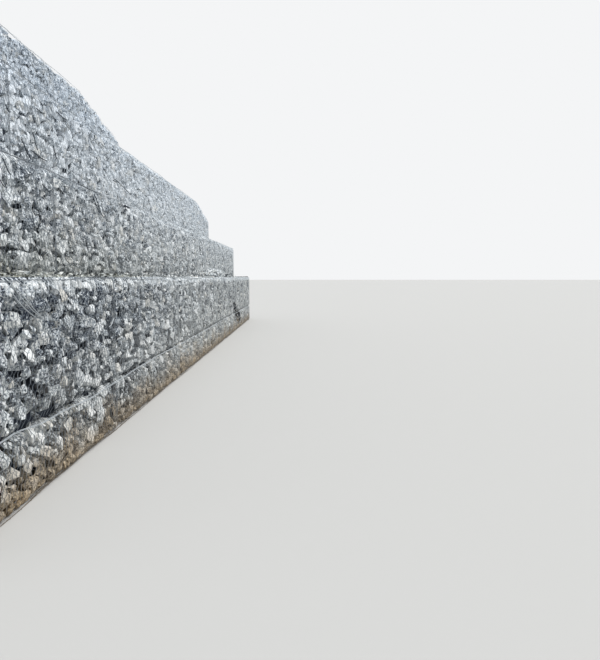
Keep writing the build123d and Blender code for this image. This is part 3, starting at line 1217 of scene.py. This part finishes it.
def new_material(name, roughness):
    """A material, its node tree, its shader, and the function that adds a node to it."""
    material = bpy.data.materials.new(name)
    material.use_nodes = True
    tree = material.node_tree
    shader = tree.nodes["Principled BSDF"]
    shader.inputs["Roughness"].default_value = roughness
    return material, tree, shader, partial(add_node, tree)


def broken_limestone():
    """Quarried limestone, broken by machine: matt, rough, blue-grey with paler fresh faces.

    Soil has splashed up the base course, and dust lies at the foot of the second one.
    """
    material, tree, shader, add = new_material("broken_limestone", 0.85)
    shader.inputs["Specular IOR Level"].default_value = 0.35
    place = add("TexCoord", {}, output="Object")
    along, across, height = add("SeparateXYZ", {}, place).node.outputs
    tone = add("Attribute", TONE, output="Fac")

    # Blotches in a stone, its grain, patches of several stones, and how high soil has splashed.
    # Limestone's grain is under 1 mm, too fine to show here, so it is drawn 15 mm across
    blotch, grain, patch, drift = (
        add("TexNoise", {}, place, None, per_mm(size), detail, rough)
        for size, detail, rough in (
            (40, 3.0, 0.5), (15, 4.0, 0.65), (380, 2.0, 0.5), (300, 3.0, 0.5))
    )

    # Each stone has a tone of its own, and the patterns are laid over it. The blotches stand out
    # more towards the far end, and less on the upper courses
    far = add("MapRange", {}, along, -7.0, 1.0, 0.9, 4.0)
    low_down = add("MapRange", {}, height, 2.0, 3.0, 1.0, 0.5)
    strength = add("Math", TIMES, far, low_down)
    value = tone
    for pattern, contrast in ((blotch, strength), (grain, 3.6), (patch, 0.6)):
        centred = add("Math", MINUS, pattern, 0.5)
        value = add("Math", TIMES_PLUS, centred, contrast, value)
    # The near-black navy at the ramp's foot is mostly painted shade, for the core and darkened
    # stones
    colour = add("ValToRGB", {"stops": (
        (0.0, "131B29"), (0.1, "495462"), (0.3, "8D959C"), (0.5, "BBC1C4"), (0.72, "DCE0E1"),
        (1.0, "EEEFEE"),
    )}, value)

    # Some stones are warmer, with iron in them, and the upper courses are bluer
    own = add("Math", TIMES, tone, 997.0)
    chance = add("TexWhiteNoise", {"noise_dimensions": "1D"}, W=own, output="Value")
    warm = add("MapRange", {}, chance, 0.75, 1.0, 0.0, 0.5)
    pale_tint = add("MapRange", {}, height, 2.0, 3.6, 0.0, 0.8)

    # Splashed soil low down, not on the core, whose painted shade is darker than any stone
    drift = add("Math", MINUS, drift, 0.5)
    level = add("Math", TIMES_PLUS, drift, 0.7, height)
    stone = add("Math", OVER, tone, -0.5)
    haze = add("MapRange", {}, level, 0.2, 1.1, 0.22, 0.0)
    haze = add("Math", TIMES, haze, stone)
    soil = add("MapRange", {}, level, -0.05, 0.38, 1.0, 0.0)
    caked = add("Math", TIMES, add("Math", TIMES, soil, 0.6), stone)
    earth = add("ValToRGB", {"stops": ((0.36, "3E3124"), (0.5, "8A765A"), (0.64, "CDBB9C"))}, grain)

    # Dust above the ledge, on the face only, and less of it further along
    dust = add("MapRange", {}, level, 1.45, 2.0, 0.55, 0.0)
    for share in (
        add("Math", OVER, height, 1.5),
        add("MapRange", {}, along, -8.0, -1.5, 1.0, 0.15),
        add("MapRange", {}, across, -0.2, 0.8, 1.0, 0.0),
    ):
        dust = add("Math", TIMES, dust, share)

    for share, blend, over in (
        (warm, TINT, linear("DCD0BE")), (pale_tint, TINT, linear("ECF4FF")),
        (haze, COVER, linear("A79D84")), (soil, TINT, linear("C9B08C")), (caked, COVER, earth),
        (dust, COVER, linear("9D9B84")),
    ):
        colour = add("Mix", blend, share, *UNUSED, colour, over, output=2)
    tree.links.new(colour, shader.inputs["Base Color"])
    rough = add("Bump", {}, Strength=0.6, Distance=0.008, Height=blotch)
    bump = add("Bump", {}, Strength=0.8, Distance=0.005, Height=grain, Normal=rough)
    tree.links.new(bump, shader.inputs["Normal"])
    return material


def zinc_coated_wire():
    """Steel wire dipped in zinc and left outdoors: an even pale grey, dulled by dust low down.

    Towards the near end the coat has weathered to a darker grey. The ledge's rim is painted lit.
    """
    material, tree, shader, add = new_material("weathered_galvanised_mesh_wire", 0.5)
    shader.inputs["Metallic"].default_value = 0.3
    place = add("TexCoord", {}, output="Object")
    along, _, height = add("SeparateXYZ", {}, place).node.outputs

    # Zinc's crystals are 10 mm across at most, too fine to show here, so they are drawn as 60 mm
    patch = add("TexNoise", {}, Vector=place, Scale=per_mm(60), Detail=2.0)
    colour = add("ValToRGB", {"stops": ((0.3, "A4ABB0"), (0.7, "CDD3D7"))}, patch)
    dust = add("MapRange", {}, height, 1.3, 2.4, 0.75, 0.0)
    grey = add("MapRange", {}, along, -6.8, -2.5, 0.85, 0.0)

    # Above zero its tone makes it paler, painted light on the ledge's rim. Below zero it holds
    # grime, most where it is weathered, and below -1 it is painted shade everywhere, nearly black
    given_tone = add("Attribute", TONE, output="Fac")
    held = add("Math", TIMES, given_tone, add("Math", TIMES, grey, -1.0))
    painted_shade = add("Math", TIMES_PLUS, given_tone, -1.0, -1.0)
    darkening = add("Math", LARGER_TO_ONE, held, painted_shade)
    pale_tint = add("Math", LARGER_TO_ONE, given_tone, 0.0)
    splash = add("MapRange", {}, height, 0.05, 0.3, 0.8, 0.0)
    for share, over in (
        (dust, "969998"), (grey, "596068"), (darkening, "3A424B"), (pale_tint, "C0C6CA"),
        (splash, "7F7260"),
    ):
        colour = add("Mix", COVER, share, *UNUSED, colour, linear(over), output=2)
    tree.links.new(colour, shader.inputs["Base Color"])
    return material


# Stage, light and camera

PHOTO_HEIGHT = 660
VANISHING_Y = 277  # row of the photograph where lines along the wall meet
FOCAL_PIXELS = 580
SENSOR = 36.0
EYE_HEIGHT = 1.5
EYE_TO_FACE = 1.78
EYE_TO_NEAR_END = 2.7
FLOOR_HALF = 300.0
SKY_STRENGTH = 3.5
SKY_SPREAD = radians(60)
SKY_TURN = (radians(27), radians(-8), 0)  # so that it shines on the face and the near end


def add_stage():
    """A pale floor, with a world that lights evenly and shows pale behind the wall."""
    mesh = bpy.data.meshes.new("floor")
    size = FLOOR_HALF
    corners = [(-size, -size, 0), (size, -size, 0), (size, size, 0), (-size, size, 0)]
    mesh.from_pydata(corners, [], [(0, 1, 2, 3)])
    floor = bpy.data.objects.new("floor", mesh)
    bpy.context.scene.collection.objects.link(floor)
    material, _, shader, _ = new_material("pale_floor", 0.9)
    shader.inputs["Base Color"].default_value = linear("B0AFAC")
    mesh.materials.append(material)

    world = bpy.data.worlds.new("even_sky")
    bpy.context.scene.world = world
    world.use_nodes = True
    tree = world.node_tree
    paths = add_node(tree, "LightPath", {}).node.outputs
    seen = add_node(tree, "Math", LARGER, paths["Is Camera Ray"], paths["Is Glossy Ray"])
    seen = add_node(tree, "Math", LARGER, seen, paths["Is Transmission Ray"])
    sky = add_node(tree, "Background", {}, linear("E9EEF4"), 0.75)
    shown = add_node(tree, "Background", {}, linear("F4F5F6"), 1.0)
    mix = add_node(tree, "MixShader", {}, seen, sky, shown)
    tree.links.new(mix, tree.nodes["World Output"].inputs["Surface"])


def add_sky_light():
    """Soft light from a bright overcast sky overhead."""
    light = bpy.data.lights.new("overhead_sky", "SUN")
    light.energy = SKY_STRENGTH
    light.angle = SKY_SPREAD
    lamp = bpy.data.objects.new("overhead_sky", light)
    lamp.rotation_euler = SKY_TURN
    bpy.context.scene.collection.objects.link(lamp)


def add_camera():
    """The photograph's view: standing in front of the near end, looking along the wall."""
    near_end, face = CAD_BOX[0].x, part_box("course_1_bay_1")[0].y
    camera_data = bpy.data.cameras.new("camera")
    camera_data.sensor_width = SENSOR
    camera_data.lens = FOCAL_PIXELS / PHOTO_HEIGHT * SENSOR
    camera_data.clip_end = 3 * FLOOR_HALF
    camera = bpy.data.objects.new("camera", camera_data)
    pitch = atan((PHOTO_HEIGHT / 2 - VANISHING_Y) / FOCAL_PIXELS)
    camera.location = (near_end - EYE_TO_NEAR_END, face - EYE_TO_FACE, EYE_HEIGHT)
    camera.rotation_euler = (pi / 2 - pitch, 0, -pi / 2)
    bpy.context.scene.collection.objects.link(camera)
    bpy.context.scene.camera = camera


limestone = broken_limestone()
mesh_wire = zinc_coated_wire()
for course in COURSES:
    bay = 1
    while f"{course}_bay_{bay}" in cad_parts:
        fill_basket(course, bay, limestone)
        net_basket(course, bay, mesh_wire)
        bay += 1
    lace_edges(course, mesh_wire)
add_stage()
add_sky_light()
add_camera()

view_settings = bpy.context.scene.view_settings
view_settings.view_transform = "Standard"
